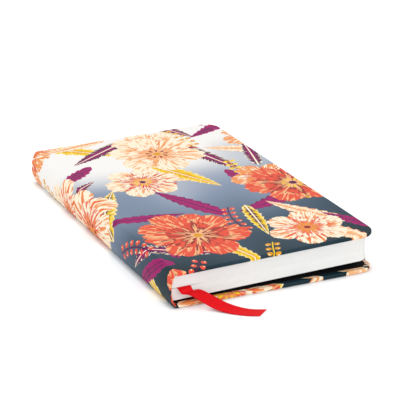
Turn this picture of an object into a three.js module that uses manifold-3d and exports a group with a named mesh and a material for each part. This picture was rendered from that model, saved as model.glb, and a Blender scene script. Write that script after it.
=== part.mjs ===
// A hardcover journal lying closed on its back cover, in millimetres.
// +X runs from the spine to the fore-edge, +Y to the head, +Z up.
import * as THREE from "three";
import { mergeVertices } from "three/addons/utils/BufferGeometryUtils.js";
import Module from "manifold-3d";

// The covers
const coverHeight = 210; // head to tail
const coverReach = 128.5; // joint axis to fore-edge
const coverCornerRadius = 9.5;
const edgeRounding = 0.35;
const boardThickness = 1.8;
const wrapThickness = 0.3; // printed paper that covers the boards
const turnInWidth = 15; // how far the wrap is turned in over each board
const turnInThickness = 0.25; // the wrap, pressed flat inside the board
const pastedownThickness = 0.2;
const square = 3; // how far the covers stand out past the pages
const pastedownSetback = 3.2; // strip of turn-in that stays bare at the edges
const glueLine = 0.03; // clearance between sheets that are glued flat

// The joints and the rounded spine
const jointWidth = 2; // free wrap between each joint axis and its board
const jointClearance = 0.3; // between the spine's long edges and each joint axis
const spineBulge = 2.4; // spine's outermost line, measured from the joint axes
const spineRadius = 21;
const inlayThickness = 0.5; // card strip inside the spine
const spineTurnIn = 12; // wrap turned in at the head and tail of the spine
const liningThickness = 0.12; // cloth that lines the hollow back
const liningSideSetback = 1.5; // from the spine's joint axes
const liningEndSetback = 5; // from the spine's head and tail

// The pages: folded sheets, gathered in sections
const leafThickness = 0.137;
const leavesPerSection = 12;
const sectionsPerHalf = 4; // in front of the ribbon, and behind it
const sectionGap = 0.12;
const gutterGap = 0.5; // opening at the ribbon
const foldSetback = 0.45; // outer sections' folds, from the joint axes
const backRounding = 0.9; // how far the middle folds stand out past the outer ones
const flyleafThickness = 0.25;
const paperClearance = 0.15;

// The pouch inside the back cover
const pouchSpread = THREE.MathUtils.degToRad(1.36); // how far it holds the pages off the cover
const pouchClearance = 0.1;
const pouchPanelThickness = 0.35;
const pouchSpineSetback = 1.2; // from the joint axis
const pouchMouthSetback = 4; // from the cover's fore-edge
const pouchEndSetback = 4.2; // from the cover's head and tail
const pouchCornerRadius = 6;
const thumbNotchRadius = 13;
const thumbNotchDepth = 7;
const gussetThickness = 0.12;
const gussetDepth = 11; // how far its fold reaches in
const gussetStart = 24; // from the joint axis, where the pouch is thick enough for it

// The ribbon
const ribbonWidth = 7.9;
const ribbonThickness = 0.25;
const ribbonSewnAt = 5.3; // from the spine's joint axis, at the head
const ribbonLeavesAt = 6.9; // from the spine's joint axis, at the tail

// Sizes worked out from those above
const turnedInDepth = wrapThickness + boardThickness + turnInThickness + 2 * glueLine;
const jointDepth = turnedInDepth + glueLine;
const coverDepth = jointDepth + pastedownThickness;
const sectionThickness = leafThickness * leavesPerSection;
const halfBlockThickness = sectionsPerHalf * sectionThickness + (sectionsPerHalf - 1) * sectionGap;
const flyleafRoom = flyleafThickness + paperClearance;
const pouchRoom = pouchClearance + pouchPanelThickness + paperClearance;
const backLeafStart = coverDepth + pouchRoom;
const frontLeafStart = coverDepth + paperClearance;
const gutterBottom = backLeafStart + flyleafRoom + halfBlockThickness;
const gutterTop = gutterBottom + gutterGap;
const spineThickness = gutterTop + halfBlockThickness + flyleafRoom + frontLeafStart;
const jointSpan = spineThickness - 2 * jointDepth;
const pageHeight = coverHeight - 2 * square;
const pageWidth = coverReach - square - foldSetback; // fold to fore-edge
const pouchHingeHeight = coverDepth + pouchClearance;

const arcSteps = 8;
const spineSteps = 16;
const foldSteps = 5;
const farAway = 50; // for cutting tools, past every edge

const wasm = await Module();
wasm.setup();

const printedPaper = { color: 0x5c6b78, roughness: 0.42 };
const greyboard = { color: 0x8d8378, roughness: 0.9 };
const blackPaper = { color: 0x17161a, roughness: 0.8 };
const pagePaper = { color: 0xf3f1ea, roughness: 0.85 };
const liningCloth = { color: 0xd9d4c6, roughness: 0.95 };
const ribbonSatin = { color: 0xd41225, roughness: 0.38 };

function piece(name, geometry, look) {
  const material = new THREE.MeshStandardMaterial({ metalness: 0, ...look });
  const mesh = new THREE.Mesh(geometry, material);
  mesh.name = name;
  return mesh;
}

// A geometry as a manifold-3d solid, and back.
function solidOf(geometry) {
  const bare = geometry.clone();
  bare.deleteAttribute("normal");
  bare.deleteAttribute("uv");
  const merged = mergeVertices(bare, 1e-4);
  const vertProperties = merged.attributes.position.array;
  const triVerts = new Uint32Array(merged.index.array);
  return new wasm.Manifold(new wasm.Mesh({ numProp: 3, vertProperties, triVerts }));
}

function geometryOf(solid) {
  const mesh = solid.getMesh();
  const geometry = new THREE.BufferGeometry();
  geometry.setAttribute("position", new THREE.BufferAttribute(mesh.vertProperties, 3));
  geometry.setIndex(new THREE.BufferAttribute(mesh.triVerts, 1));
  const flat = geometry.toNonIndexed();
  flat.computeVertexNormals();
  return flat;
}

// A sheet's outline seen from above: square at the spine, rounded at the fore-edge.
function sheetOutline(spineEdge, foreEdge, halfHeight, radius) {
  const outline = new THREE.Shape();
  outline.moveTo(spineEdge, -halfHeight);
  outline.lineTo(foreEdge - radius, -halfHeight);
  outline.absarc(foreEdge - radius, radius - halfHeight, radius, -Math.PI / 2, 0, false);
  outline.lineTo(foreEdge, halfHeight - radius);
  outline.absarc(foreEdge - radius, halfHeight - radius, radius, 0, Math.PI / 2, false);
  outline.lineTo(spineEdge, halfHeight);
  outline.closePath();
  return outline;
}

// A flat plate from bottom to top, with its rims rounded.
function plate(outline, bottom, top, rounding = 0) {
  const geometry = new THREE.ExtrudeGeometry(outline, {
    depth: top - bottom - 2 * rounding,
    curveSegments: arcSteps,
    bevelEnabled: rounding > 0,
    bevelThickness: rounding,
    bevelSize: rounding,
    bevelOffset: -rounding,
    bevelSegments: 2,
  });
  return geometry.translate(0, 0, bottom + rounding);
}

// A profile of points (x, z), drawn out along the height between y = -half and half.
function drawnOut(profile, half) {
  const geometry = new THREE.ExtrudeGeometry(new THREE.Shape(profile), {
    depth: 2 * half,
    bevelEnabled: false,
  });
  return geometry.rotateX(Math.PI / 2).translate(0, half, 0);
}

// A ring's own normal, by Newell's sum over its edges.
function ringNormal(ring) {
  const normal = new THREE.Vector3();
  ring.forEach((point, i) => normal.add(point.clone().cross(ring[(i + 1) % ring.length])));
  return normal.normalize();
}

// A skin through rings of equal length, each a list of points, closed at both ends.
function loft(path) {
  const travel = path[1][0].clone().sub(path[0][0]);
  const backwards = ringNormal(path[0]).dot(travel) < 0;
  const rings = backwards ? path.map((ring) => [...ring].reverse()) : path;
  const count = rings[0].length;
  const positions = rings.flat().flatMap((point) => point.toArray());
  const faces = [];
  for (let ring = 0; ring + 1 < rings.length; ring += 1) {
    for (let i = 0; i < count; i += 1) {
      const a = ring * count + i;
      const b = ring * count + ((i + 1) % count);
      faces.push(a, b, b + count, a, b + count, a + count);
    }
  }
  const last = (rings.length - 1) * count;
  const normal = ringNormal(rings[0]);
  const right = rings[0][1].clone().sub(rings[0][0]).normalize();
  const up = normal.clone().cross(right);
  const outline = rings[0].map((point) => new THREE.Vector2(point.dot(right), point.dot(up)));
  for (const [a, b, c] of THREE.ShapeUtils.triangulateShape(outline, [])) {
    faces.push(a, c, b, last + a, last + b, last + c);
  }
  const geometry = new THREE.BufferGeometry();
  geometry.setAttribute("position", new THREE.Float32BufferAttribute(positions, 3));
  geometry.setIndex(faces);
  const flat = geometry.toNonIndexed();
  flat.computeVertexNormals();
  return flat;
}

// The spine's round back: x at a height above the lower joint axis, for a layer at a depth
// below its printed face.
function spineX(height, depth = 0) {
  const fromMiddle = height - jointSpan / 2;
  return spineRadius - spineBulge - Math.sqrt((spineRadius - depth) ** 2 - fromMiddle ** 2);
}

function spineLayer(outerDepth, innerDepth, lowEnd, highEnd, halfHeight) {
  const face = (depth) =>
    Array.from({ length: spineSteps + 1 }, (_, i) => {
      const height = THREE.MathUtils.lerp(lowEnd, highEnd, i / spineSteps);
      return new THREE.Vector2(spineX(height, depth), height);
    });
  return drawnOut([...face(outerDepth).reverse(), ...face(innerDepth)], halfHeight);
}

// The cover's paper: one skin round the board's three free edges, turned in over its inside.
function coverWrap() {
  const half = coverHeight / 2;
  const wall = wrapThickness;
  const outside = solidOf(
    plate(
      sheetOutline(jointWidth - farAway, coverReach, half, coverCornerRadius),
      0,
      turnedInDepth,
      edgeRounding,
    ),
  );
  const boardRoom = solidOf(
    plate(
      sheetOutline(-2 * farAway, coverReach - wall, half - wall, coverCornerRadius - wall),
      wall,
      turnedInDepth - turnInThickness,
    ),
  );
  const opening = solidOf(
    plate(
      sheetOutline(-2 * farAway, coverReach - turnInWidth, half - turnInWidth, wall),
      boardThickness,
      turnedInDepth + farAway,
    ),
  );
  const spineSide = solidOf(
    plate(sheetOutline(-2 * farAway, jointWidth, half + farAway, wall), -farAway, farAway),
  );
  return geometryOf(outside.subtract(boardRoom).subtract(opening).subtract(spineSide));
}

function coverBoard() {
  const inset = wrapThickness + glueLine;
  const outline = sheetOutline(
    jointWidth,
    coverReach - inset,
    coverHeight / 2 - inset,
    coverCornerRadius - inset,
  );
  return plate(outline, inset, inset + boardThickness);
}

// The wrap's free strip at the joint, a smooth shoulder from the cover to the spine.
function jointStrip() {
  const meetsSpineAt = jointClearance - glueLine;
  const spineSlope = (spineX(meetsSpineAt) - spineX(0)) / meetsSpineAt;
  const end = new THREE.Vector2(spineX(meetsSpineAt), jointDepth + meetsSpineAt);
  const start = new THREE.Vector2(jointWidth - glueLine, 0);
  const bend = new THREE.Vector2(end.x - spineSlope * end.y, 0);
  const outside = new THREE.QuadraticBezierCurve(start, bend, end);
  const line = outside.getPoints(arcSteps);
  const inside = line.map((point, i) => {
    const tangent = outside.getTangent(i / arcSteps);
    return new THREE.Vector2(tangent.y, -tangent.x).multiplyScalar(wrapThickness).add(point);
  });
  inside[arcSteps].set(spineX(meetsSpineAt, wrapThickness), end.y);
  return drawnOut([...line, ...inside.reverse()], coverHeight / 2);
}

// The black paper glued inside the cover: a sheet over the turn-ins, and the thicker
// middle that fills the level between them.
function pastedown() {
  const half = coverHeight / 2;
  const sheet = solidOf(
    plate(
      sheetOutline(
        2 * jointClearance,
        coverReach - pastedownSetback,
        half - pastedownSetback,
        coverCornerRadius - pastedownSetback,
      ),
      jointDepth,
      coverDepth,
    ),
  );
  const fillEdge = turnInWidth + glueLine;
  const filling = solidOf(
    plate(
      sheetOutline(jointWidth, coverReach - fillEdge, half - fillEdge, wrapThickness),
      wrapThickness + boardThickness + 2 * glueLine,
      jointDepth + pastedownThickness / 2,
    ),
  );
  return geometryOf(sheet.add(filling));
}

function cover(side) {
  const group = new THREE.Group();
  group.add(piece(`${side}_board`, coverBoard(), greyboard));
  group.add(piece(`${side}_cover_wrap`, coverWrap(), printedPaper));
  group.add(piece(`${side}_joint_wrap`, jointStrip(), printedPaper));
  group.add(piece(`${side}_pastedown`, pastedown(), blackPaper));
  return group;
}

// How far a fold at a height of the block stands out past the outer sections' folds.
function foldReach(fromGutter) {
  const share = fromGutter / (halfBlockThickness + gutterGap / 2);
  return backRounding * (1 - share ** 2);
}

// One gathering: folded sheets, with a round back fold and rounded corners at the fore-edge.
function section(bottom, fromGutter) {
  const fold = foldSetback - foldReach(fromGutter);
  const radius = sectionThickness / 2;
  const middle = bottom + radius;
  const profile = Array.from({ length: foldSteps + 1 }, (_, i) => {
    const turn = Math.PI / 2 + (Math.PI * i) / foldSteps;
    return new THREE.Vector2(
      fold + radius + radius * Math.cos(turn),
      middle + radius * Math.sin(turn),
    );
  });
  profile.push(new THREE.Vector2(fold + pageWidth, bottom));
  profile.push(new THREE.Vector2(fold + pageWidth, bottom + sectionThickness));
  const folded = solidOf(drawnOut(profile, pageHeight / 2));
  const cornerRadius = coverCornerRadius - square;
  const trimmed = solidOf(
    plate(
      sheetOutline(-farAway, fold + pageWidth, pageHeight / 2, cornerRadius),
      bottom - farAway,
      bottom + farAway,
    ),
  );
  return geometryOf(folded.intersect(trimmed));
}

// Half the pages: the flyleaf nearest the cover, then its sections up to the gutter.
function halfBlock(side, leafStart, names) {
  const group = new THREE.Group();
  const radius = coverCornerRadius - square;
  const leaf = sheetOutline(foldSetback, foldSetback + pageWidth, pageHeight / 2, radius);
  const leafTop = leafStart + flyleafThickness;
  group.add(piece(`${side}_flyleaf`, plate(leaf, leafStart, leafTop), blackPaper));
  names.forEach((name, i) => {
    const step = i * (sectionThickness + sectionGap);
    const bottom = leafTop + paperClearance + step;
    const fromGutter = halfBlockThickness + gutterGap / 2 - step - sectionThickness / 2;
    group.add(piece(name, section(bottom, fromGutter), pagePaper));
  });
  return group;
}

// The spine: wrap with its turned-in ends, the card strip inside it and its cloth lining.
function spine() {
  const group = new THREE.Group();
  const half = coverHeight / 2;
  const low = jointClearance;
  const high = jointSpan - jointClearance;
  const cardTop = wrapThickness + inlayThickness + 2 * glueLine;
  const shell = solidOf(spineLayer(0, cardTop + turnInThickness, low, high, half));
  const cardRoom = solidOf(
    spineLayer(wrapThickness, cardTop, low - 1, high + 1, half - wrapThickness),
  );
  const opening = solidOf(
    spineLayer(
      cardTop - glueLine,
      cardTop + 2 * turnInThickness,
      low - 1,
      high + 1,
      half - spineTurnIn,
    ),
  );
  const wrap = geometryOf(shell.subtract(cardRoom).subtract(opening));
  group.add(piece("spine_wrap", wrap, printedPaper));
  const inlayDepth = wrapThickness + glueLine;
  const inlay = spineLayer(
    inlayDepth,
    inlayDepth + inlayThickness,
    low,
    high,
    half - inlayDepth,
  );
  group.add(piece("spine_inlay", inlay, greyboard));
  const liningDepth = cardTop + turnInThickness + glueLine;
  const lining = spineLayer(
    liningDepth,
    liningDepth + liningThickness,
    liningSideSetback,
    jointSpan - liningSideSetback,
    half - liningEndSetback,
  );
  group.add(piece("spine_lining", lining, liningCloth));
  return group;
}

// The pouch's stiff front panel, with a thumb notch in its mouth.
function pouchPanel() {
  const mouth = coverReach - pouchMouthSetback;
  const half = coverHeight / 2 - pouchEndSetback;
  const outline = sheetOutline(pouchSpineSetback, mouth, half, pouchCornerRadius);
  const bottom = pouchHingeHeight;
  const top = bottom + pouchPanelThickness;
  const notch = new THREE.CylinderGeometry(thumbNotchRadius, thumbNotchRadius, farAway, 32);
  notch.rotateX(Math.PI / 2);
  notch.translate(mouth + thumbNotchRadius - thumbNotchDepth, 0, bottom);
  return geometryOf(solidOf(plate(outline, bottom, top)).subtract(solidOf(notch)));
}

// A gusset at the head or tail of the pouch: paper folded inwards once, wider at the mouth.
function pouchGusset(end) {
  const outer = coverHeight / 2 - pouchEndSetback - gussetThickness;
  const inner = outer - gussetDepth;
  const mouth = coverReach - pouchMouthSetback - pouchCornerRadius;
  const ring = (x) => {
    const floor = coverDepth + glueLine;
    const roof = pouchHingeHeight + x * Math.tan(pouchSpread) - glueLine;
    const middle = (floor + roof) / 2;
    const points = [
      [outer, floor],
      [outer, floor + gussetThickness],
      [inner + gussetThickness, middle],
      [outer, roof - gussetThickness],
      [outer, roof],
      [inner, middle + gussetThickness / 2],
      [inner, middle - gussetThickness / 2],
    ];
    return points.map(([y, z]) => new THREE.Vector3(x, end * y, z));
  };
  return loft([ring(gussetStart), ring(mouth)]);
}

// The ribbon inside the block, flat in the gutter from the head to the tail.
function ribbonInGutter() {
  const half = ribbonWidth / 2;
  const bottom = (gutterBottom + gutterTop - ribbonThickness) / 2;
  const head = pageHeight / 2 - square;
  const outline = new THREE.Shape();
  outline.moveTo(ribbonLeavesAt - half, -pageHeight / 2);
  outline.lineTo(ribbonLeavesAt + half, -pageHeight / 2);
  outline.lineTo(ribbonSewnAt + half, head);
  outline.lineTo(ribbonSewnAt - half, head);
  outline.closePath();
  return plate(outline, bottom, bottom + ribbonThickness);
}

// The ribbon's free tail: places along its middle, chosen by hand, in x from the joint axis,
// y from the pages' tail edge and z from the table, and the way its width points in each.
const ribbonRoute = [
  { at: [6.9, -0.3, 10.95], across: [1, 0, 0.02] },
  { at: [6.95, -1.2, 10.85], across: [1, 0, 0.02] },
  { at: [7.1, -2.1, 10.3], across: [1, 0.06, 0] },
  { at: [7.5, -2.5, 9.4], across: [0.99, 0.12, 0] },
  { at: [8.1, -2.7, 8.6], across: [0.98, 0.2, 0.03] },
  { at: [9.5, -3.0, 8.4], across: [0.96, 0.26, 0.06] },
  { at: [11.2, -3.6, 8.4], across: [0.93, 0.32, 0.1] },
  { at: [13.2, -4.9, 7.7], across: [0.88, 0.42, 0.16] },
  { at: [15.5, -6.8, 6.4], across: [0.86, 0.44, 0.22] },
  { at: [18.4, -9.4, 4.6], across: [0.85, 0.45, 0.26] },
  { at: [21.3, -12.1, 3.0], across: [0.86, 0.43, 0.26] },
  { at: [24.1, -14.9, 1.9], across: [0.86, 0.46, 0.22] },
  { at: [27.2, -17.9, 1.2], across: [0.82, 0.54, 0.17] },
  { at: [30.6, -20.9, 0.75], across: [0.74, 0.65, 0.12] },
  { at: [34.2, -23.5, 0.5], across: [0.6, 0.79, 0.07] },
  { at: [37.9, -25.4, 0.4], across: [0.5, 0.86, 0.03] },
  { at: [41.9, -26.9, 0.3], across: [0.93, 0.74, 0] },
];

function ribbonTail() {
  const rings = ribbonRoute.map(({ at, across }, i) => {
    const middle = new THREE.Vector3(...at).add(new THREE.Vector3(0, -pageHeight / 2, 0));
    const before = new THREE.Vector3(...ribbonRoute[Math.max(i - 1, 0)].at);
    const after = new THREE.Vector3(...ribbonRoute[Math.min(i + 1, ribbonRoute.length - 1)].at);
    const along = after.sub(before).normalize();
    const side = new THREE.Vector3(...across);
    const last = i === ribbonRoute.length - 1;
    if (!last) side.normalize();
    const up = new THREE.Vector3().crossVectors(side, along).normalize();
    side.multiplyScalar(ribbonWidth / 2);
    up.multiplyScalar(ribbonThickness / 2);
    return [
      middle.clone().sub(side).sub(up),
      middle.clone().add(side).sub(up),
      middle.clone().add(side).add(up),
      middle.clone().sub(side).add(up),
    ];
  });
  return loft(rings);
}

// Everything above the pouch leans on its hinge line by the pouch's spread.
const leaning = new THREE.Group();
leaning.position.set(0, 0, pouchHingeHeight);
leaning.rotation.y = -pouchSpread;
const aboveHinge = new THREE.Group();
aboveHinge.position.z = -pouchHingeHeight;
leaning.add(aboveHinge);

const turnedOver = new THREE.Group();
turnedOver.position.z = spineThickness;
turnedOver.rotation.x = Math.PI;
const sectionNames = Array.from({ length: 2 * sectionsPerHalf }, (_, i) => `section_${i + 1}`);
const frontNames = sectionNames.slice(0, sectionsPerHalf);
const backNames = sectionNames.slice(sectionsPerHalf).reverse();
turnedOver.add(cover("front"), halfBlock("front", frontLeafStart, frontNames));
aboveHinge.add(turnedOver, halfBlock("back", backLeafStart, backNames));
aboveHinge.add(piece("pouch_panel", pouchPanel(), blackPaper));
aboveHinge.add(piece("ribbon_in_gutter", ribbonInGutter(), ribbonSatin));

// The spine stands between the two joint axes.
const spineGroup = spine();
const lean = (jointSpan + jointDepth - pouchHingeHeight) * Math.sin(pouchSpread);
spineGroup.position.set(0, 0, jointDepth);
spineGroup.rotation.y = -Math.asin(lean / jointSpan);

const book = new THREE.Group();
book.add(cover("back"), spineGroup, leaning);
book.add(piece("pouch_gusset_head", pouchGusset(1), blackPaper));
book.add(piece("pouch_gusset_tail", pouchGusset(-1), blackPaper));

// The origin is under the middle of the book, which the ribbon's free tail doesn't count in.
const extent = new THREE.Box3().setFromObject(book, true);
const middle = extent.getCenter(new THREE.Vector3());
book.position.set(-middle.x, -middle.y, -extent.min.z);
book.add(piece("ribbon_tail", ribbonTail(), ribbonSatin));

const journal = new THREE.Group();
journal.add(book);

export default journal;
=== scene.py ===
# A hardcover journal lying closed on its back cover, with a ribbon marker.
# Lengths are in millimetres times mm, which makes metres. +X runs from the spine to the
# fore-edge, +Y to the head, +Z up.

# %% [markdown]
# The frame is the imported CAD model: its bodies turn and slide at the book's joints, and its nodes
# are the pieces. Many pieces that are made here are parented to an empty named after the body that
# they ride on.

import math
import random

import bmesh
import bpy
from mathutils import Matrix, Quaternion, Vector


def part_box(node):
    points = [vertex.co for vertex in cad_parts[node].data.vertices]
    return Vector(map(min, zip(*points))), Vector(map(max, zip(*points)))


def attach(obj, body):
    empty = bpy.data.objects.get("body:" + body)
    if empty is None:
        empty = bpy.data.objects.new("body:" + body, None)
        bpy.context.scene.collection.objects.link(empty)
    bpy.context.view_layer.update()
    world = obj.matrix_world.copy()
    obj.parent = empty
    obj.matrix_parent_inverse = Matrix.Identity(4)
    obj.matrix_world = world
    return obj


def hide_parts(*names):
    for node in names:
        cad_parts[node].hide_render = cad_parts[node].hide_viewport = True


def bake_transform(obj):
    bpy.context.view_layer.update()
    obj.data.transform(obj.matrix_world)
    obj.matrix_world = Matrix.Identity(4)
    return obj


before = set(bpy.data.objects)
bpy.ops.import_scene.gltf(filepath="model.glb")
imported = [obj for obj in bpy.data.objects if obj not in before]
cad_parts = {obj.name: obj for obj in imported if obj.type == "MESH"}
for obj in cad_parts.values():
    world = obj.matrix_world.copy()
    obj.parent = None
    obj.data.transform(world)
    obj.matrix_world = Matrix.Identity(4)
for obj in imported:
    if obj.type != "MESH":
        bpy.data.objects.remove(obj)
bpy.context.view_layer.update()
mm = 0.001

# %% [markdown]
# A journal of this kind is a block of sewn sections that hangs between two thin boards. One
# sheet of printed paper wraps both boards and the rounded spine, and it is turned in over
# their edges. These are the sizes that its pieces share.

# %% Sizes of the covers and the spine
cover_height = 210 * mm
cover_reach = 128.5 * mm          # joint axis to fore-edge
cover_corner = 9.5 * mm
board_thickness = 1.8 * mm
wrap_thickness = 0.3 * mm
turn_in = 15 * mm
turned_in_depth = 2.41 * mm       # outside of the wrap to the face of its turn-in
joint_depth = 2.44 * mm           # outside of the wrap to the joint axis
joint_width = 2 * mm              # free wrap between each joint axis and its board
joint_clearance = 0.3 * mm        # between the spine's long edges and each joint axis
cover_depth = 2.64 * mm           # outside of the wrap to the face of the black paper
glue_line = 0.03 * mm
spine_bulge = 2.4 * mm
spine_radius = 21 * mm
spine_depth = 1.11 * mm           # outside of the spine to the face of its turn-in
print("cover:", round((cover_reach + spine_bulge) / mm), "by", round(cover_height / mm), "mm")

# %% Sizes of the pages, the pouch and the ribbon
leaf_thickness = 0.137 * mm
leaves_per_section = 12
sections_per_half = 4
section_gap = 0.12 * mm
gutter_gap = 0.5 * mm
fold_setback = 0.45 * mm
back_rounding = 0.9 * mm          # how far the middle folds stand out past the outer ones
square = 3 * mm                   # how far the covers stand out past the pages
page_height = cover_height - 2 * square
page_width = cover_reach - square - fold_setback
page_corner = cover_corner - square
section_thickness = leaf_thickness * leaves_per_section
half_block = sections_per_half * section_thickness + (sections_per_half - 1) * section_gap
flyleaf_room = 0.4 * mm
back_leaf_start = 3.24 * mm       # outside of the back cover to its flyleaf
front_leaf_start = 2.79 * mm
pouch_spread = math.radians(1.36)
pouch_hinge_height = 2.74 * mm
ribbon_thickness = 0.25 * mm
ribbon_sewn_at = 5.3 * mm         # from the joint axis, at the head
ribbon_leaves_at = 6.9 * mm       # from the joint axis, at the tail
gutter_bottom = back_leaf_start + flyleaf_room + half_block
gutter_top = gutter_bottom + gutter_gap
spine_thickness = gutter_top + half_block + flyleaf_room + front_leaf_start
joint_span = spine_thickness - 2 * joint_depth
print("thickness at the spine:", round(spine_thickness / mm, 2), "mm")

# %% [markdown]
# The book isn't a stack of parallel plates: the pouch holds the pages off the back cover, so
# everything above it leans by a small angle, and the spine leans by part of that. So each group
# of pieces is laid out in a flat frame of its own, as a point across the cover and a depth
# into it, and the frame says where that is.

# %% Places: flat frames that the pieces are laid out in


class Place:
    """A frame in the X-Z plane: points are given across it, and by their depth into it."""

    def __init__(self, origin, across, inward):
        self.origin = Vector(origin)
        self.across = Vector(across)
        self.inward = Vector(inward)

    def at(self, across, depth):
        return self.origin + self.across * across + self.inward * depth


joint_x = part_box("back_board")[0].x - joint_width
lean_sin = math.sin(pouch_spread)
lean_cos = math.cos(pouch_spread)
over_hinge = spine_thickness - pouch_hinge_height
back_cover_place = Place((joint_x, 0), (1, 0), (0, 1))
back_leaves_place = Place(
    (joint_x + pouch_hinge_height * lean_sin, pouch_hinge_height * (1 - lean_cos)),
    (lean_cos, lean_sin),
    (-lean_sin, lean_cos),
)
front_place = Place(
    (joint_x - over_hinge * lean_sin, pouch_hinge_height + over_hinge * lean_cos),
    (lean_cos, lean_sin),
    (lean_sin, -lean_cos),
)
spine_tilt = math.asin((joint_span + joint_depth - pouch_hinge_height) * lean_sin / joint_span)
spine_place = Place(
    (joint_x, joint_depth),
    (math.cos(spine_tilt), math.sin(spine_tilt)),
    (-math.sin(spine_tilt), math.cos(spine_tilt)),
)
print("back joint axis at x =", round(joint_x / mm, 3), "mm")

# %% [markdown]
# The photograph is taken from the tail end, a little to the spine's side and from above, with
# a long lens, so the far end of the book is hardly smaller than the near one.

# %% Camera
camera_data = bpy.data.cameras.new("camera")
camera_data.lens = 137.73
camera_data.sensor_width = 36
camera_data.clip_start = 0.05
camera_data.clip_end = 20
camera = bpy.data.objects.new("camera", camera_data)
bpy.context.scene.collection.objects.link(camera)
camera_yaw = 0.4715
camera_pitch = 0.37897
camera_roll = 0.02466
look = Vector((
    math.sin(camera_yaw) * math.cos(camera_pitch),
    math.cos(camera_yaw) * math.cos(camera_pitch),
    -math.sin(camera_pitch),
))
camera.location = Vector((-401.64, -806.72, 369.57)) * mm
camera.rotation_mode = "QUATERNION"
camera.rotation_quaternion = look.to_track_quat("-Z", "Y") @ Quaternion((0, 0, 1), camera_roll)
bpy.context.scene.camera = camera
print("camera", [round(c, 4) for c in camera.location])

# %% [markdown]
# Every finish is made of shader nodes. They could be added and linked one by one, but that is
# long to read. Here a Wire is one output of a node, and arithmetic on it adds the nodes for
# that arithmetic, so that a finish reads like a formula.

# %% Finishes: a small wrapper for shader nodes


class Wire:
    """An output socket. Numbers use Math nodes, and vectors use Vector Math."""

    def __init__(self, tree, socket):
        self.tree = tree
        self.socket = socket

    def node(self, kind, inputs, output=0, **settings):
        return new_node(self.tree, kind, inputs, output, **settings)

    def math(self, operation, *values):
        return self.node("ShaderNodeMath", dict(enumerate(values)), operation=operation)

    def __add__(self, other):
        return self.math("ADD", self, other)

    def __radd__(self, other):
        return self.math("ADD", other, self)

    def __sub__(self, other):
        return self.math("SUBTRACT", self, other)

    def __rsub__(self, other):
        return self.math("SUBTRACT", other, self)

    def __mul__(self, other):
        return self.math("MULTIPLY", self, other)

    def __rmul__(self, other):
        return self.math("MULTIPLY", other, self)

    def __truediv__(self, other):
        return self.math("DIVIDE", self, other)


def new_node(tree, kind, inputs, output=0, **settings):
    """Adds a node: settings first, then its inputs by name or number."""
    node = tree.nodes.new(kind)
    for name, value in settings.items():
        setattr(node, name, value)
    for key, value in inputs.items():
        if isinstance(value, Wire):
            tree.links.new(value.socket, node.inputs[key])
        else:
            node.inputs[key].default_value = value
    return Wire(tree, node.outputs[output])


def show(surface, kind):
    """Ends the tree in an output node."""
    end = surface.tree.nodes.new(kind)
    surface.tree.links.new(surface.socket, end.inputs["Surface"])


def new_finish(name, build):
    """A material whose surface inputs are what build gives for its node tree."""
    material = bpy.data.materials.new(name)
    material.use_nodes = True
    tree = material.node_tree
    tree.nodes.clear()
    surface = new_node(tree, "ShaderNodeBsdfPrincipled", build(tree))
    show(surface, "ShaderNodeOutputMaterial")
    return material


# %% Finishes: bumps, noise and colours


def bumped(height, distance, strength=1.0):
    return height.node(
        "ShaderNodeBump", {"Height": height, "Distance": distance, "Strength": strength}
    )


def noise(tree, place, scale, detail=3.0, roughness=0.5):
    return new_node(
        tree,
        "ShaderNodeTexNoise",
        {"Vector": place, "Scale": scale, "Detail": detail, "Roughness": roughness},
        "Fac",
    )


def object_place(tree):
    return new_node(tree, "ShaderNodeTexCoord", {}, "Object")


def between(amount, low, high):
    """A colour from low to high by an amount from 0 to 1."""
    return amount.node(
        "ShaderNodeMix", {0: amount, 6: low, 7: high}, 2, data_type="RGBA", clamp_factor=True
    )


def rgba(red, green, blue):
    """A colour written as in the photograph, 0 to 255, in linear light."""
    def linear(channel):
        share = channel / 255
        return share / 12.92 if share <= 0.04045 else ((share + 0.055) / 1.055) ** 2.4

    return (linear(red), linear(green), linear(blue), 1)


print("a mid grey of 128 is", round(rgba(128, 128, 128)[0], 3), "in linear light")

# %% Finishes: measures and steps that read like words


def split(vector):
    """The three numbers in a vector."""
    node = vector.tree.nodes.new("ShaderNodeSeparateXYZ")
    vector.tree.links.new(vector.socket, node.inputs[0])
    return [Wire(vector.tree, socket) for socket in node.outputs]


def below(value, limit):
    """1 where the value is below the limit, and 0 elsewhere."""
    return value.math("LESS_THAN", value, limit)


def above(value, limit):
    return value.math("GREATER_THAN", value, limit)


def larger(a, b):
    return a.math("MAXIMUM", a, b)


def size_of(value):
    return value.math("ABSOLUTE", value)


def fraction(value):
    return value.math("FRACT", value)


def wave(value):
    """From 0 to 1 and back once for each whole number."""
    turns = value * (2 * math.pi)
    return 0.5 + 0.5 * turns.math("SINE", turns)


# %% [markdown]
# Paper and board are a felt of fibres: two close tones in soft mottling, and a fine bump. The
# black paper is coloured through, the board is grey with lighter and darker specks of waste
# paper, and the pages are plain white.

# %% Finish of the papers and the board


def paper_finish(name, low, high, grain, roughness, depth):
    def build(tree):
        place = object_place(tree)
        mottle = noise(tree, place, grain)
        fibres = noise(tree, place, 12 * grain, 4.0, 0.7)
        return {
            "Base Color": between(mottle * 0.7 + fibres * 0.3, low, high),
            "Roughness": roughness - 0.1 + 0.2 * fibres,
            "Specular IOR Level": 0.15,
            "Normal": bumped(fibres, depth),
        }

    return new_finish(name, build)


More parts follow.
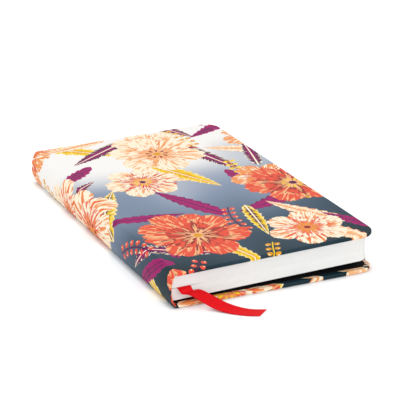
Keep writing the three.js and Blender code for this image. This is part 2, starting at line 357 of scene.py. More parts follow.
def board_surface(tree):
    place = object_place(tree)
    felt = noise(tree, place, 700, 4.0, 0.7)
    specks = noise(tree, place, 2600, 1.0)
    tone = between(felt, rgba(128, 119, 106), rgba(162, 152, 138))
    tone = between(above(specks, 0.68), tone, rgba(88, 84, 82))
    return {
        "Base Color": between(below(specks, 0.3), tone, rgba(198, 192, 180)),
        "Roughness": 0.8 + 0.15 * felt,
        "Specular IOR Level": 0.2,
        "Normal": bumped(felt, 0.00005),
    }


black_paper = paper_finish("black_paper", rgba(11, 10, 12), rgba(24, 23, 26), 300, 0.85, 0.00002)
page_white = rgba(246, 245, 242)
page_paper = paper_finish("page_paper", rgba(240, 240, 237), page_white, 400, 0.85, 0.00001)
greyboard = new_finish("greyboard", board_surface)
print("papers:", black_paper.name, page_paper.name, greyboard.name)

# %% [markdown]
# The ribbon and the spine's lining are woven, and their threads follow the strip. So both
# read the piece's own UV map, which gives the place along the strip and across it in metres.
# The ribbon is satin: long warp threads lie on its face, which makes it shine along them, and
# a denser selvage runs down each edge. The lining is a plain open weave, over and under.

# %% Finish of the satin ribbon
ribbon_width = 7.9 * mm
warp_pitch = 0.22 * mm
weft_pitch = 0.4 * mm
selvage_width = 0.45 * mm


def satin_surface(tree):
    strip_place = new_node(tree, "ShaderNodeUVMap", {}, "UV", uv_map="strip")
    along, across, _ = split(strip_place)
    warp = wave(across / warp_pitch)
    binding = wave(along / weft_pitch + across * (0.37 / warp_pitch))
    slub = noise(tree, strip_place.node(
        "ShaderNodeVectorMath", {0: strip_place, 1: (120, 2600, 1)}, operation="MULTIPLY"
    ), 1.0, 2.0)
    selvage = above(size_of(across), ribbon_width / 2 - selvage_width)
    body = between(slub * 0.6 + warp * 0.4, rgba(214, 4, 14), rgba(244, 12, 26))
    return {
        "Base Color": between(selvage * 0.55 * binding, body, rgba(150, 4, 14)),
        "Roughness": 0.36 + 0.16 * binding + 0.1 * selvage,
        "Specular IOR Level": 0.12,
        "Normal": bumped(warp * 0.7 + binding * 0.3, 0.00003, 0.6),
    }


ribbon_satin = new_finish("ribbon_satin", satin_surface)
print("ribbon: about", round(ribbon_width / warp_pitch), "warp threads")

# %% Finish of the lining cloth
thread_pitch = 0.45 * mm


def cloth_surface(tree):
    strip_place = new_node(tree, "ShaderNodeUVMap", {}, "UV", uv_map="strip")
    along, across, _ = split(strip_place)
    along = along / thread_pitch
    across = across / thread_pitch
    warp = wave(across) * wave(along * 0.5 + 0.25)
    weft = wave(along) * wave(across * 0.5 + 0.75)
    threads = larger(warp, weft)
    fluff = noise(tree, strip_place, 5000, 3.0)
    return {
        "Base Color": between(
            threads * 0.8 + fluff * 0.2, rgba(206, 202, 192), rgba(248, 246, 240)
        ),
        "Roughness": 0.95 - 0.1 * threads,
        "Specular IOR Level": 0.15,
        "Normal": bumped(threads, 0.00008),
    }


lining_cloth = new_finish("lining_cloth", cloth_surface)
print("lining:", round(10 * mm / thread_pitch), "threads to the centimetre")

# %% [markdown]
# The cover paper carries a generic print on a ground that fades from pale grey to slate: round
# blossoms, toothed leaves and berries, strewn on turned lattices. Each layer has a lattice of
# its own, and every cell of it holds one motif, which white noise shifts, turns and colours. An
# image could hold the print too, but a formula stays sharp at any size. It is laid out on the
# flat sheet, so it runs on over the spine and round the edges as on a real cover.

# %% Print: strewn places


def joined(x, y, z=0.0):
    return x.node("ShaderNodeCombineXYZ", {0: x, 1: y, 2: z})


def turned(x, y, angle):
    """The coordinates in a frame turned by an angle, which may be a number or a wire."""
    if isinstance(angle, Wire):
        cosine = angle.math("COSINE", angle)
        sine = angle.math("SINE", angle)
    else:
        cosine = math.cos(angle)
        sine = math.sin(angle)
    return x * cosine + y * sine, y * cosine - x * sine


def strewn(u, v, spacing, tilt, seed, jitter=0.24):
    """For each cell of a turned lattice: x and y from its motif's middle, in millimetres and
    turned at random, and two numbers from 0 to 1 for its own look."""
    a, b = turned(u, v, math.radians(tilt))
    # The seed moves the lattice by odd shares of a cell, so no two layers line up.
    a = a / spacing + 0.37 * seed
    b = b / spacing + 0.61 * seed
    column = a.math("FLOOR", a)
    row = b.math("FLOOR", b)
    shift = column.node(
        "ShaderNodeTexWhiteNoise", {"Vector": joined(column, row, seed)}, "Color",
        noise_dimensions="3D",
    )
    look = column.node(
        "ShaderNodeTexWhiteNoise", {"Vector": joined(row, column, seed + 50)}, "Color",
        noise_dimensions="3D",
    )
    shift_x, shift_y, way = split(shift)
    first, second, _ = split(look)
    x = (a - column - 0.5 - (shift_x - 0.5) * jitter) * spacing
    y = (b - row - 0.5 - (shift_y - 0.5) * jitter) * spacing
    x, y = turned(x, y, way * 2 * math.pi)
    return x, y, first, second


# %% Print: its colours
cream = rgba(252, 240, 212)
peach = rgba(247, 186, 132)
apricot = rgba(240, 148, 82)
coral = rgba(232, 84, 58)
red = rgba(214, 44, 44)
brick = rgba(150, 50, 48)
magenta = rgba(164, 14, 104)
plum = rgba(92, 26, 72)
yellow = rgba(246, 206, 24)
amber = rgba(226, 156, 28)
pale_ground = rgba(246, 243, 238)
blue_ground = rgba(136, 150, 172)
slate_ground = rgba(70, 90, 108)
dark_ground = rgba(20, 44, 52)
print("ground: linear green from", round(dark_ground[1], 3), "to", round(pale_ground[1], 3))


def ink(under, mask, colour):
    """One printed colour over what lies under it, where the mask is 1."""
    return mask.node(
        "ShaderNodeMix", {0: mask, 6: under, 7: colour}, 2, data_type="RGBA"
    )


def chosen(number, colours):
    """One of several colours by a number from 0 to 1."""
    colour = colours[0]
    for i, other in enumerate(colours[1:], 1):
        colour = ink(colour, above(number, i / len(colours)), other)
    return colour


# %% Print: blossoms


def petals(under, x, y, radius, count, skew, main, shade, rim):
    """A ring of broad petals with ruffled rims, painted in streaks from the middle."""
    place = joined(x, y)
    far = place.node("ShaderNodeVectorMath", {0: place}, "Value", operation="LENGTH") / radius
    angle = x.math("ARCTAN2", y, x) + skew
    lobe = size_of((angle * (count / 2)).math("COSINE", angle * (count / 2)))
    ruffle = noise(x.tree, place, 0.22, 2.0, 0.6)
    edge = 0.6 + 0.3 * lobe.math("POWER", lobe, 0.55) + 0.24 * (ruffle - 0.4)
    share = far / edge
    inside = below(share, 1.0)
    spoke = joined(x / far * (0.7 / radius), y / far * (0.7 / radius), far * 0.1)
    streak = noise(x.tree, spoke, 12.0, 3.0, 0.7)
    # The streaks push each colour's limit in or out, so that it ends in brush strokes.
    painted = share + (streak - 0.5) * 2.6
    colour = ink(main, below(painted, 0.72), rim)
    colour = ink(colour, below(painted, 0.4), shade)
    colour = ink(colour, above(painted, 1.15), rim)
    gap = below(lobe * far, 0.03 + 0.07 * streak) * above(far, 0.16)
    colour = ink(colour, gap, shade)
    return ink(under, inside, colour)


def blossom(under, x, y, radius, first, second):
    main = chosen(first, [cream, peach, cream, coral, cream, apricot])
    shade = chosen(first, [apricot, coral, coral, brick, red, red])
    rim = chosen(first, [peach, cream, apricot, peach, peach, cream])
    colour = petals(under, x, y, radius, 6, 0.0, main, shade, rim)
    colour = petals(colour, x, y, radius * 0.62, 5, 0.6, main, rim, shade)
    place = joined(x, y)
    far = place.node("ShaderNodeVectorMath", {0: place}, "Value", operation="LENGTH") / radius
    angle = x.math("ARCTAN2", y, x)
    thread = (angle * 9).math("COSINE", angle * 9)
    stamens = below(size_of(far - 0.17), 0.05) * above(thread, 0.45)
    colour = ink(colour, stamens, chosen(second, [amber, brick, yellow]))
    return ink(colour, below(far, 0.075), chosen(second, [brick, amber, plum]))


# %% Print: leaves and berries


def leaf(under, x, y, length, breadth, first, second):
    """A pointed leaf with toothed edges, painted in streaks that slant from its midrib."""
    along = x / length + 0.5
    rest = 1 - along
    side = size_of(y - (second - 0.3) * breadth * along * rest)
    slanted = along - side * (0.9 / length)
    half = breadth * 1.3 * (along.math("POWER", larger(along, 0.001), 0.6)) * larger(rest, 0.0)
    half = half * (1.0 - 0.24 * fraction(slanted * 9))
    inside = below(side, half) * above(along, 0.0) * below(along, 1.0)
    streak = noise(x.tree, joined(slanted * 70, side * 0.16, second * 30), 1.0, 2.0, 0.6)
    painted = side / larger(half, 0.1) + (streak - 0.5) * 2.4
    body = chosen(first, [magenta, yellow, plum, yellow, magenta, brick, cream])
    base = chosen(first, [plum, plum, magenta, amber, magenta, plum, peach])
    tips = chosen(first, [magenta, cream, cream, cream, plum, coral, apricot])
    colour = ink(body, below(painted, 0.34), base)
    colour = ink(colour, above(painted, 0.92), tips)
    colour = ink(colour, below(side, 0.25 + 0.4 * rest), tips)
    return ink(under, inside, colour)


def berries(under, x, y, length, first):
    """A thin stem with round berries on both its sides."""
    along = x / length + 0.5
    stem_line = y - 3 * (along * math.pi).math("SINE", along * math.pi)
    on_stem = below(size_of(stem_line), 0.4)
    within = above(along, 0.0) * below(along, 1.0)
    colour = ink(under, on_stem * within, chosen(first, [amber, plum, yellow]))
    step = along * 6
    place = joined((fraction(step) - 0.5) * (length / 6), size_of(stem_line) - 2.6)
    near = place.node("ShaderNodeVectorMath", {0: place}, "Value", operation="LENGTH")
    berry = below(near, 1.75) * within
    colour = ink(colour, berry, chosen(first, [yellow, coral, amber]))
    shine = joined((fraction(step) - 0.36) * (length / 6), size_of(stem_line) - 3.1)
    glint = shine.node("ShaderNodeVectorMath", {0: shine}, "Value", operation="LENGTH")
    return ink(colour, below(glint, 0.5) * within, cream)


# %% Print: the whole sheet
# Each layer's lattice: its spacing in millimetres and tilt in degrees, the motif's sizes in
# millimetres, and the seed of its random numbers.
leaf_layers = [(68, 24, 56, 17, 1), (72, -38, 58, 15, 2), (56, 61, 46, 12, 7)]
berry_layers = [(60, 8, 36, 4)]
blossom_layers = [(73, -17, 26, 5), (94, 33, 33, 12)]


def ground(fade, low, high, start, end):
    """The ground's colour from start to end, where its fade goes from low to high."""
    amount = fade.node(
        "ShaderNodeMapRange", {"Value": fade, "From Min": low, "From Max": high},
        interpolation_type="SMOOTHSTEP",
    )
    return ink(start, amount, end)


def print_colour(tree):
    sheet_place = new_node(tree, "ShaderNodeUVMap", {}, "UV", uv_map="print")
    u, v, _ = split(sheet_place)
    u = u * 1000
    v = v * 1000
    cloud = noise(tree, joined(u, v), 0.012, 1.0)
    fade = 0.64 + v / 205 - size_of(size_of(u) - 60) / 450 + (cloud - 0.5) * 0.5
    colour = ground(fade, 0.0, 0.35, dark_ground, slate_ground)
    colour = ground(fade, 0.3, 0.62, colour, blue_ground)
    colour = ground(fade, 0.54, 0.86, colour, pale_ground)
    for spacing, tilt, length, breadth, seed in leaf_layers:
        x, y, first, second = strewn(u, v, spacing, tilt, seed)
        colour = leaf(colour, x, y, length, breadth, first, second)
    for spacing, tilt, length, seed in berry_layers:
        x, y, first, _ = strewn(u, v, spacing, tilt, seed)
        colour = berries(colour, x, y, length, first)
    for spacing, tilt, radius, seed in blossom_layers:
        x, y, first, second = strewn(u, v, spacing, tilt, seed)
        colour = blossom(colour, x, y, radius, first, second)
    return colour


def printed_surface(tree):
    fibres = noise(tree, object_place(tree), 2500, 2.0)
    sheen = noise(tree, object_place(tree), 30, 2.0)
    return {
        "Base Color": print_colour(tree),
        "Roughness": 0.46 + 0.08 * sheen,
        "Specular IOR Level": 0.12,
        "Normal": bumped(fibres, 0.000004),
    }


printed_paper = new_finish("printed_paper", printed_surface)
print("print:", len(printed_paper.node_tree.nodes), "nodes")

# %% [markdown]
# Every new piece is built in a bmesh, which is then written into an object. Paper, cloth and
# ribbon are thin, so they are modelled as sheets without thickness, which are easy to cut and
# bend, and a Solidify modifier thickens them last.

# %% Small helpers for mesh pieces


def finished(bm, name, material):
    """The bmesh as an object with its finish."""
    mesh = bpy.data.meshes.new(name)
    bm.to_mesh(mesh)
    bm.free()
    obj = bpy.data.objects.new(name, mesh)
    bpy.context.scene.collection.objects.link(obj)
    mesh.materials.append(material)
    mesh.shade_smooth()
    return obj


def thickened(obj, thickness, offset=0.0):
    """A sheet given its thickness, and shading that keeps its broad faces flat."""
    solid = obj.modifiers.new("thickness", "SOLIDIFY")
    solid.thickness = thickness
    solid.offset = offset
    solid.use_even_offset = True
    rims = obj.modifiers.new("sharp rims", "EDGE_SPLIT")
    rims.split_angle = math.radians(35)
    obj.modifiers.new("shading", "WEIGHTED_NORMAL")
    return obj


def strip(steps, strands, length, width):
    """A flat grid from -1 to 1, whose UV map gives each point's place on a real strip."""
    bm = bmesh.new()
    bmesh.ops.create_grid(bm, x_segments=steps, y_segments=strands, size=1)
    uv_layer = bm.loops.layers.uv.new("strip")
    for face in bm.faces:
        for loop in face.loops:
            x, y, _ = loop.vert.co
            loop[uv_layer].uv = ((x + 1) / 2 * length, y / 2 * width)
    return bm


def cut_across(bm, x, clear=False):
    """Cuts a bmesh along the plane at x, and clears what lies on its low side if asked."""
    bmesh.ops.bisect_plane(
        bm,
        geom=bm.verts[:] + bm.edges[:] + bm.faces[:],
        dist=1e-7,
        plane_co=(x, 0, 0),
        plane_no=(1, 0, 0),
        clear_inner=clear,
    )


# %% [markdown]
# The ribbon is sewn in at the head of the spine, lies flat in the gutter and leaves the block
# at the tail, where it bends over the edge, twists a little and runs out along the table. It
# is a woven satin band, so it is a strip laid along its route. The route's points are the
# CAD's own.

# %% Ribbon: route
ribbon_route = [
    # x from the joint axis, y from the pages' tail edge, z from the table; then the way the
    # band's width points
    ((6.9, -0.3, 10.95), (1, 0, 0.02)),
    ((6.95, -1.2, 10.85), (1, 0, 0.02)),
    ((7.1, -2.1, 10.3), (1, 0.06, 0)),
    ((7.5, -2.5, 9.4), (0.99, 0.12, 0)),
    ((8.1, -2.7, 8.6), (0.98, 0.2, 0.03)),
    ((9.5, -3.0, 8.4), (0.96, 0.26, 0.06)),
    ((11.2, -3.6, 8.4), (0.93, 0.32, 0.1)),
    ((13.2, -4.9, 7.7), (0.88, 0.42, 0.16)),
    ((15.5, -6.8, 6.4), (0.86, 0.44, 0.22)),
    ((18.4, -9.4, 4.6), (0.85, 0.45, 0.26)),
    ((21.3, -12.1, 3.0), (0.86, 0.43, 0.26)),
    ((24.1, -14.9, 1.9), (0.86, 0.46, 0.22)),
    ((27.2, -17.9, 1.2), (0.82, 0.54, 0.17)),
    ((30.6, -20.9, 0.75), (0.74, 0.65, 0.12)),
    ((34.2, -23.5, 0.5), (0.6, 0.79, 0.07)),
    ((37.9, -25.4, 0.4), (0.5, 0.86, 0.03)),
    ((41.9, -26.9, 0.3), (0.93, 0.74, 0)),
]
route_start = Vector((joint_x, -page_height / 2, 0))
route_points = [route_start + Vector(point) * mm for point, _ in ribbon_route]
route_widths = [Vector(width).normalized() for _, width in ribbon_route]
route_widths[-1] = Vector(ribbon_route[-1][1])    # longer, for the end's slanting cut


def smooth_between(items, place):
    """The value at a place along a list, on a curve that passes through its items."""
    last = len(items) - 1
    i = min(int(place), last - 1)
    t = place - i
    before = items[max(i - 1, 0)]
    start = items[i]
    end = items[i + 1]
    after = items[min(i + 2, last)]
    return (
        start * 2
        + (end - before) * t
        + (before * 2 - start * 5 + end * 4 - after) * t * t
        + (start * 3 - before - end * 3 + after) * t * t * t
    ) / 2


print("route:", len(route_points), "points")

# %% Ribbon: the band
band_steps = 96
band_strands = 6


def laid_along(name, points, widths, steps):
    """A band whose middle follows the points, with its width pointing as widths say."""
    length = sum((b - a).length for a, b in zip(points, points[1:]))
    bm = strip(steps, band_strands, length, ribbon_width)
    for vert in bm.verts:
        place = (vert.co.x + 1) / 2 * (len(points) - 1)
        side = smooth_between(widths, place) * vert.co.y * ribbon_width / 2
        vert.co = smooth_between(points, place) + side
    return thickened(finished(bm, name, ribbon_satin), ribbon_thickness)


ribbon_tail = laid_along("ribbon_tail_band", route_points, route_widths, band_steps)
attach(ribbon_tail, "leaves_5")
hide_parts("ribbon_tail")
centreline = [
    smooth_between(route_points, i / 4) for i in range(4 * (len(route_points) - 1) + 1)
]
free_length = sum((b - a).length for a, b in zip(centreline, centreline[1:]))
print("free ribbon", round(free_length / mm, 1), "mm")

# %% Ribbon: in the gutter
gutter_middle = gutter_bottom + gutter_gap / 2
tail_end = back_leaves_place.at(ribbon_leaves_at, gutter_middle)
head_end = back_leaves_place.at(ribbon_sewn_at, gutter_middle)
gutter_points = [
    Vector((head_end.x, page_height / 2 - square, head_end.y)),
    Vector((tail_end.x, -page_height / 2, tail_end.y)),
]
band_across = Vector((lean_cos, 0, lean_sin))
ribbon_in_gutter = laid_along("ribbon_in_gutter_band", gutter_points, [band_across] * 2, 40)
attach(ribbon_in_gutter, "leaves_5")
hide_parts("ribbon_in_gutter")
print("ribbon in the gutter", round((gutter_points[1] - gutter_points[0]).length / mm, 1), "mm")

# %% [markdown]
# The case is bound in one printed sheet: it lies flat on each board, runs free round the
# joint, follows the rounded spine, and is turned in over every edge. It is made as a box skin
# with rounded corners and rims, open at the boards' inside, whose spine end is bent along the
# shoulder and the spine. The two halves meet in the middle of the spine, since each of them
# bends at one joint.

# %% Case wrap: its line round the shoulder and the spine
shoulder_steps = 12
tiny_step = 0.01 * mm             # for the slope at the start of the round back
thinning_steps = 5                # from the board's edge to where the wrap is only turned in
spine_steps = 16


def spine_x(height, depth=0.0):
    """The round back: across the spine's place, for a layer at a depth below its face."""
    from_middle = height - joint_span / 2
    return spine_radius - spine_bulge - math.sqrt((spine_radius - depth) ** 2 - from_middle**2)


def cross(a, b):
    return a.x * b.y - a.y * b.x


def wrap_line(cover, joint_height):
    """Points of the wrap's outside from the board's edge to the middle of the spine."""
    middle = joint_span / 2
    towards = 1 if joint_height < middle else -1
    first = joint_height + towards * joint_clearance
    heights = [first + (middle - first) * i / spine_steps for i in range(spine_steps + 1)]
    round_back = [spine_place.at(spine_x(height), height) for height in heights]
    just_before = first - towards * tiny_step
    slope = (spine_place.at(spine_x(just_before), just_before) - round_back[0]).normalized()
    start = cover.at(joint_width, 0)
    reach = cross(round_back[0] - start, slope) / cross(cover.across, slope)
    corner = start + cover.across * reach
    shoulder = []
    for i in range(shoulder_steps):
        t = i / shoulder_steps
        shoulder.append(start * (1 - t) ** 2 + corner * 2 * t * (1 - t) + round_back[0] * t * t)
    return shoulder + round_back


def wrap_stations(cover, joint_height):
    """The line with, for each point: its length along, its inward direction and its depth."""
    line = wrap_line(cover, joint_height)
    turn = 1 if joint_height < joint_span / 2 else -1
    stations = []
    travelled = 0.0
    for i, point in enumerate(line):
        before = line[max(i - 1, 0)]
        after = line[min(i + 1, len(line) - 1)]
        tangent = (after - before).normalized()
        inward = Vector((tangent.y, -tangent.x)) * turn
        if i == 0:
            inward = cover.inward
        else:
            travelled += (point - before).length
        share = min(i / thinning_steps, 1)
        depth = turned_in_depth + (spine_depth - turned_in_depth) * share
        stations.append((travelled, point, inward, depth))
    return stations


print("wrap line:", shoulder_steps + spine_steps + 1, "points on each side")

# %% Case wrap: the flat skin
corner_segments = 14
rim_radius = 0.7 * mm
rim_segments = 4
overshoot = 30 * mm               # spare length at the spine end, which is cut off


def flat_skin(reach_back):
    """The wrap as a flat box skin: rounded at the fore-edge, open inside and at the spine."""
    bm = bmesh.new()
    low_end = reach_back - overshoot
    size = Matrix.Diagonal((cover_reach - low_end, cover_height, turned_in_depth, 1))
    middle = Vector(((cover_reach + low_end) / 2, 0, turned_in_depth / 2))
    bmesh.ops.create_cube(bm, size=1, matrix=Matrix.Translation(middle) @ size)
    corners = [
        edge for edge in bm.edges
        if all(vert.co.x > 0 for vert in edge.verts)
        and abs(edge.verts[0].co.z - edge.verts[1].co.z) > board_thickness
    ]
    bmesh.ops.bevel(
        bm, geom=corners, offset=cover_corner, segments=corner_segments, profile=0.5,
        affect="EDGES", material=-1,
    )
    rims = [
        edge for edge in bm.edges
        if abs(edge.verts[0].co.z - edge.verts[1].co.z) < rim_radius
        and max(vert.co.x for vert in edge.verts) > low_end + rim_radius
    ]
    bmesh.ops.bevel(
        bm, geom=rims, offset=rim_radius, segments=rim_segments, profile=0.5, affect="EDGES",
        material=-1,
    )
    inside = max(
        bm.faces, key=lambda face: (round(face.calc_center_median().z / mm, 3), face.calc_area())
    )
    bmesh.ops.inset_region(bm, faces=[inside], thickness=turn_in - rim_radius, use_even_offset=True)
    bmesh.ops.delete(bm, geom=[inside], context="FACES")
    cut_across(bm, reach_back, clear=True)
    return bm


# %% Case wrap: its place on the flat sheet


def unrolled(x, y, z):
    """Where a point of the skin lies on the flat sheet, before it was wrapped and turned in."""
    centre_x = cover_reach - cover_corner
    centre_y = cover_height / 2 - cover_corner
    out_x = x - centre_x
    out_y = abs(y) - centre_y
    if out_x > 0 and out_y > 0:
        outward = Vector((out_x, out_y)).normalized()
        inset = cover_corner - math.hypot(out_x, out_y)
    elif out_x > out_y:
        outward = Vector((1, 0))
        inset = cover_reach - x
    else:
        outward = Vector((0, 1))
        inset = cover_height / 2 - abs(y)
    beyond = z - inset if z < turned_in_depth / 2 else z + inset
    shift = outward * (beyond + inset)
    return x + shift.x, y + math.copysign(shift.y, y)


# %% Case wrap: bent along its line


def wrap_half(name, cover, joint_height, sheet_side):
    """The back or front half: flat on its board, then bent to the middle of the spine."""
    stations = wrap_stations(cover, joint_height)
    length = stations[-1][0]
    bm = flat_skin(joint_width - length)
    for travelled, _, _, _ in stations[:-1]:
        cut_across(bm, joint_width - travelled)
    uv_layer = bm.loops.layers.uv.new("print")
    for face in bm.faces:
        for loop in face.loops:
            x, y = unrolled(*loop.vert.co)
            loop[uv_layer].uv = (sheet_side * (x - joint_width + length), y)
    for vert in bm.verts:
        travelled = joint_width - vert.co.x
        share_of_depth = vert.co.z / turned_in_depth
        if travelled <= 0:
            place = cover.at(vert.co.x, vert.co.z)
        else:
            later = next((s for s in stations if s[0] >= travelled - 1e-7), stations[-1])
            place = later[1] + later[2] * later[3] * share_of_depth
        vert.co = (place.x, vert.co.y, place.y)
    if sheet_side > 0:
        bmesh.ops.reverse_faces(bm, faces=bm.faces[:])
    obj = finished(bm, name, printed_paper)
    return thickened(obj, wrap_thickness, -1.0)


# %% Case wrap: its two halves
joint_bend = 0.7 * mm             # how far past each joint axis the paper still bends
wrap_back = wrap_half("case_wrap_back", back_cover_place, 0.0, -1)
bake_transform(wrap_back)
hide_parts("back_cover_wrap", "back_joint_wrap", "spine_wrap")
wrap_front = wrap_half("case_wrap_front", front_place, joint_span, 1)
front_start = front_place.at(joint_width, joint_depth)
front_end = front_place.at(-joint_bend, joint_depth)
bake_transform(wrap_front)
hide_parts("front_cover_wrap", "front_joint_wrap")
half_sheet = cover_reach - joint_width + wrap_stations(back_cover_place, 0.0)[-1][0]
turned_over = turned_in_depth + turn_in
print("case wrap, cut flat:", round(2 * (half_sheet + turned_over) / mm), "by",
      round((cover_height + 2 * turned_over) / mm), "mm")

# %% [markdown]
# A strip of open-weave cloth lines the hollow back and strengthens it. It could be cut from the
# spine's own skin, but a real lining only bends and never stretches, so it is made as a flat
# strip that is laid along the inside of the round back.

# %% Lining of the hollow back
lining_thickness = 0.12 * mm
lining_side_setback = 1.5 * mm    # from the spine's joint axes
lining_end_setback = 5 * mm       # from the spine's head and tail
lining_low = lining_side_setback
lining_high = joint_span - lining_side_setback
lining_depth = spine_depth + glue_line + lining_thickness / 2
lining_height = cover_height - 2 * lining_end_setback
lining_radius = spine_radius - lining_depth
lining_width = 2 * lining_radius * math.asin((lining_high - lining_low) / 2 / lining_radius)
bm = strip(100, 20, lining_height, lining_width)
for vert in bm.verts:
    height = (lining_low + lining_high) / 2 + vert.co.y * (lining_high - lining_low) / 2
    place = spine_place.at(spine_x(height, lining_depth), height)
    vert.co = (place.x, vert.co.x * lining_height / 2, place.y)
lining = thickened(finished(bm, "lining_strip", lining_cloth), lining_thickness)
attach(lining, "spine")
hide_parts("spine_lining")
print("lining", round(lining_width / mm, 1), "by", round(lining_height / mm, 1), "mm")

# %% [markdown]
# The pouch is a black panel glued along three sides of the back cover, with a folded gusset at
# its head and its tail. A gusset is one strip of paper folded inwards. It is bent between the
# cover and the panel, along the plane that halves the pouch's angle, so that its fold always
# lies halfway.

# %% Gussets of the pouch
gusset_thickness = 0.12 * mm
gusset_depth = 11 * mm            # how far its fold reaches in
gusset_start = 24 * mm            # from the joint axis
pouch_end_setback = 4.2 * mm      # from the cover's head and tail
pouch_mouth_setback = 4 * mm      # from the cover's fore-edge
pouch_corner = 6 * mm
gusset_end = cover_reach - pouch_mouth_setback - pouch_corner
pouch_floor = cover_depth + glue_line + gusset_thickness / 2


def gusset(name, node, end):
    """A folded strip at the head, end 1, or the tail, end -1."""
    bm = bmesh.new()
    bmesh.ops.create_grid(bm, x_segments=16, y_segments=16, size=1)
    outer = cover_height / 2 - pouch_end_setback - gusset_thickness
    for vert in bm.verts:
        across = gusset_start + (vert.co.x + 1) / 2 * (gusset_end - gusset_start)
        roof = pouch_hinge_height + across * math.tan(pouch_spread) - glue_line
        roof -= gusset_thickness / 2
        middle = (pouch_floor + roof) / 2
        to_edge = abs(vert.co.y)
        height = middle + vert.co.y * (roof - pouch_floor) / 2
        vert.co = (joint_x + across, end * (outer - gusset_depth * (1 - to_edge)), height)
    obj = finished(bm, name, black_paper)
    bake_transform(obj)
    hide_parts(node)
    thickened(obj, gusset_thickness)


gusset("head_gusset", "pouch_gusset_head", 1)
gusset("tail_gusset", "pouch_gusset_tail", -1)
print("gussets:", round((gusset_end - gusset_start) / mm, 1), "mm long")

# %% [markdown]
# The pages are sheets folded once and nested in sections of twelve leaves. Real leaves differ
# by a hair in their cut, and that is what draws the fine lines on the edges of the block. So
# every sheet is made: a strip with rounded corners, folded round its section's back.

# %% Pages: how they lie and settle
air_between_leaves = 0.012 * mm
air_between_sections = 0.02 * mm
leaf_pitch = (section_thickness + section_gap - air_between_sections) / leaves_per_section
ribbon_edge = ribbon_leaves_at + ribbon_width / 2
gutter_air = 0.13 * mm            # what is left of the gutter's gap past the ribbon
gutter_closes = gutter_gap - gutter_air
settling = 10 * mm                # past the ribbon, where the gutter closes


def closing(across, depth):
    """How far a front leaf sinks: over the ribbon it is held up, and past it it settles."""
    amount = min(max((across - ribbon_edge) / settling, 0), 1)
    share = depth / (front_leaf_start + flyleaf_room + half_block)
    return gutter_closes * share**2 * amount * amount * (3 - 2 * amount)


print("leaf pitch:", round(leaf_pitch / mm, 3), "mm")

# %% Pages: one folded sheet
fold_cuts = 8
settling_cuts = 4
hair = random.Random(20)          # draws the hair's breadth by which each sheet's cut differs


def folded_sheet(bm, place, bottom, fold, nesting):
    """A sheet folded round the ones inside it; nesting 0 is the section's outermost."""
    radius = (leaves_per_section / 2 - nesting - 0.5) * leaf_pitch
    centre = fold + section_thickness / 2
    arc = math.pi * radius
    reach = fold + page_width - centre
    half = arc / 2 + reach
    sheet = bmesh.new()
    bmesh.ops.create_grid(sheet, x_segments=1, y_segments=1, size=1)
    ends = {1: hair.uniform(-0.06, 0.06) * mm, -1: hair.uniform(-0.06, 0.06) * mm}
    tall = page_height / 2 + hair.uniform(-0.04, 0.04) * mm
    for vert in sheet.verts:
        side = 1 if vert.co.x > 0 else -1
        vert.co = (side * (half + ends[side]), math.copysign(tall, vert.co.y), 0)
    bmesh.ops.bevel(
        sheet, geom=sheet.verts[:], offset=page_corner, segments=8, profile=0.5,
        affect="VERTICES", material=-1,
    )
    for i in range(fold_cuts + 1):
        cut_across(sheet, arc * (i / fold_cuts - 0.5))
    if place is front_place:
        for i in range(settling_cuts + 1):
            bent_at = ribbon_edge + settling * i / settling_cuts - centre + arc / 2
            cut_across(sheet, bent_at)
            cut_across(sheet, -bent_at)
    middle = bottom + section_thickness / 2
    for vert in sheet.verts:
        along = vert.co.x
        if abs(along) <= arc / 2:
            turn = along / radius
            across = centre - radius * math.cos(turn)
            depth = middle + radius * math.sin(turn)
        else:
            across = centre + abs(along) - arc / 2
            depth = middle + math.copysign(radius, along)
        if place is front_place:
            depth += closing(across, depth)
        point = place.at(across, depth)
        vert.co = (point.x, vert.co.y, point.y)
    leaf_mesh = bpy.data.meshes.new("sheet")
    sheet.to_mesh(leaf_mesh)
    sheet.free()
    bm.from_mesh(leaf_mesh)
    bpy.data.meshes.remove(leaf_mesh)


# %% Pages: one section


def section_stack(name, node, body, place, leaf_start, number):
    """A section of nested sheets, the number-th from its cover."""
    step = number * (section_thickness + section_gap)
    from_gutter = half_block + gutter_gap / 2 - step - section_thickness / 2
    share = from_gutter / (half_block + gutter_gap / 2)
    fold = fold_setback - back_rounding * (1 - share**2)
    bm = bmesh.new()
    for nesting in range(leaves_per_section // 2):
        folded_sheet(bm, place, leaf_start + flyleaf_room + step, fold, nesting)
    obj = finished(bm, name, page_paper)
    thickened(obj, leaf_pitch - air_between_leaves)
    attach(obj, body)
    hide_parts(node)


# %% Pages: the eight sections
front_bodies = ["front_leaves", "leaves_2", "leaves_3", "leaves_4"]
back_bodies = ["back_leaves", "leaves_7", "leaves_6", "leaves_5"]
for number in range(sections_per_half):
    section_stack(
        f"gathering_{number + 1}", f"section_{number + 1}", front_bodies[number],
        front_place, front_leaf_start, number,
    )
    section_stack(
        f"gathering_{8 - number}", f"section_{8 - number}", back_bodies[number],
        back_leaves_place, back_leaf_start, number,
    )
print("sections:", 2 * sections_per_half, "of", leaves_per_section, "leaves")

# %% [markdown]
# The boards, the card in the spine, the black papers and the pouch's panel are flat stock with
# cut edges, and the CAD has their true form. They keep their shape and get their finish.

# %% Finishes of the carried-over pieces
kept = {
    "back_board": greyboard,
    "front_board": greyboard,
    "spine_inlay": greyboard,
    "back_pastedown": black_paper,
    "front_pastedown": black_paper,
    "front_flyleaf": black_paper,
    "back_flyleaf": black_paper,
    "pouch_panel": black_paper,
}
for node_name, material in kept.items():
    node_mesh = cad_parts[node_name].data
    node_mesh.materials.clear()
    node_mesh.materials.append(material)
print("carried over:", len(kept))

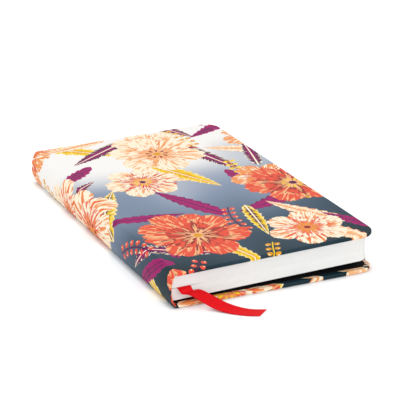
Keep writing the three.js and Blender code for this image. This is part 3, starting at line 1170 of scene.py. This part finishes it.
# %% [markdown]
# The book lies on a white surface in soft light, and the background is plain white. The light
# on the book stays plain: the white comes from what the camera is shown, and not from stronger
# lamps. The floor keeps the shadow, which an Ambient Occlusion node deepens where the book
# touches it.

# %% Floor
bm = bmesh.new()
bmesh.ops.create_grid(bm, x_segments=1, y_segments=1, size=4)
floor_mesh = bpy.data.meshes.new("floor")
bm.to_mesh(floor_mesh)
bm.free()
floor = bpy.data.objects.new("floor", floor_mesh)
bpy.context.scene.collection.objects.link(floor)


def seen(tree):
    """1 for what the camera sees, by way of a mirror or glass too, and 0 for light alone."""
    camera_ray, glossy, transmitted = [
        new_node(tree, "ShaderNodeLightPath", {}, f"Is {kind} Ray")
        for kind in ("Camera", "Glossy", "Transmission")
    ]
    return larger(larger(camera_ray, glossy), transmitted)


contact_reach = 3.5 * mm          # how far out the floor's shadow is deepened


def floor_surface(tree):
    """White where it is seen, apart from the book's shadow, which is darkest close to it."""
    open_sky = new_node(tree, "ShaderNodeAmbientOcclusion", {"Distance": contact_reach}, "AO")
    lift = seen(tree) * open_sky * open_sky
    return {
        "Base Color": between(seen(tree), rgba(252, 252, 252), rgba(224, 224, 224)),
        "Roughness": 0.9,
        "Specular IOR Level": 0.1,
        "Emission Color": between(lift, (0, 0, 0, 1), (0.4, 0.4, 0.4, 1)),
        "Emission Strength": 1.0,
    }


floor_mesh.materials.append(new_finish("floor", floor_surface))
print("floor:", [round(side, 1) for side in floor.dimensions], "m")

# %% World
world = bpy.data.worlds.new("studio")
bpy.context.scene.world = world
world.use_nodes = True
tree = world.node_tree
tree.nodes.clear()
sky = new_node(tree, "ShaderNodeBackground", {
    "Color": between(seen(tree), (0.97, 0.98, 1, 1), (1, 1, 1, 1)),
    "Strength": 0.92 + 0.08 * seen(tree),
})
show(sky, "ShaderNodeOutputWorld")
print("world:", len(tree.nodes), "nodes")

# %% Lamps


def soft_box(name, location, target, size, power):
    """A large soft lamp that points at the target."""
    light = bpy.data.lights.new(name, "AREA")
    light.shape = "RECTANGLE"
    light.size = size
    light.size_y = size
    light.energy = power
    obj = bpy.data.objects.new(name, light)
    bpy.context.scene.collection.objects.link(obj)
    obj.location = location
    direction = Vector(target) - Vector(location)
    obj.rotation_mode = "QUATERNION"
    obj.rotation_quaternion = direction.to_track_quat("-Z", "Y")
    print("lamp:", name, power, "W")


soft_box("key", (-0.5, 0.4, 1.1), (0, 0, 0), 0.8, 2.3)
soft_box("fill", (0.1, -1.2, 0.42), (0, 0, 0), 0.8, 2.6)
bpy.context.scene.view_settings.view_transform = "Standard"
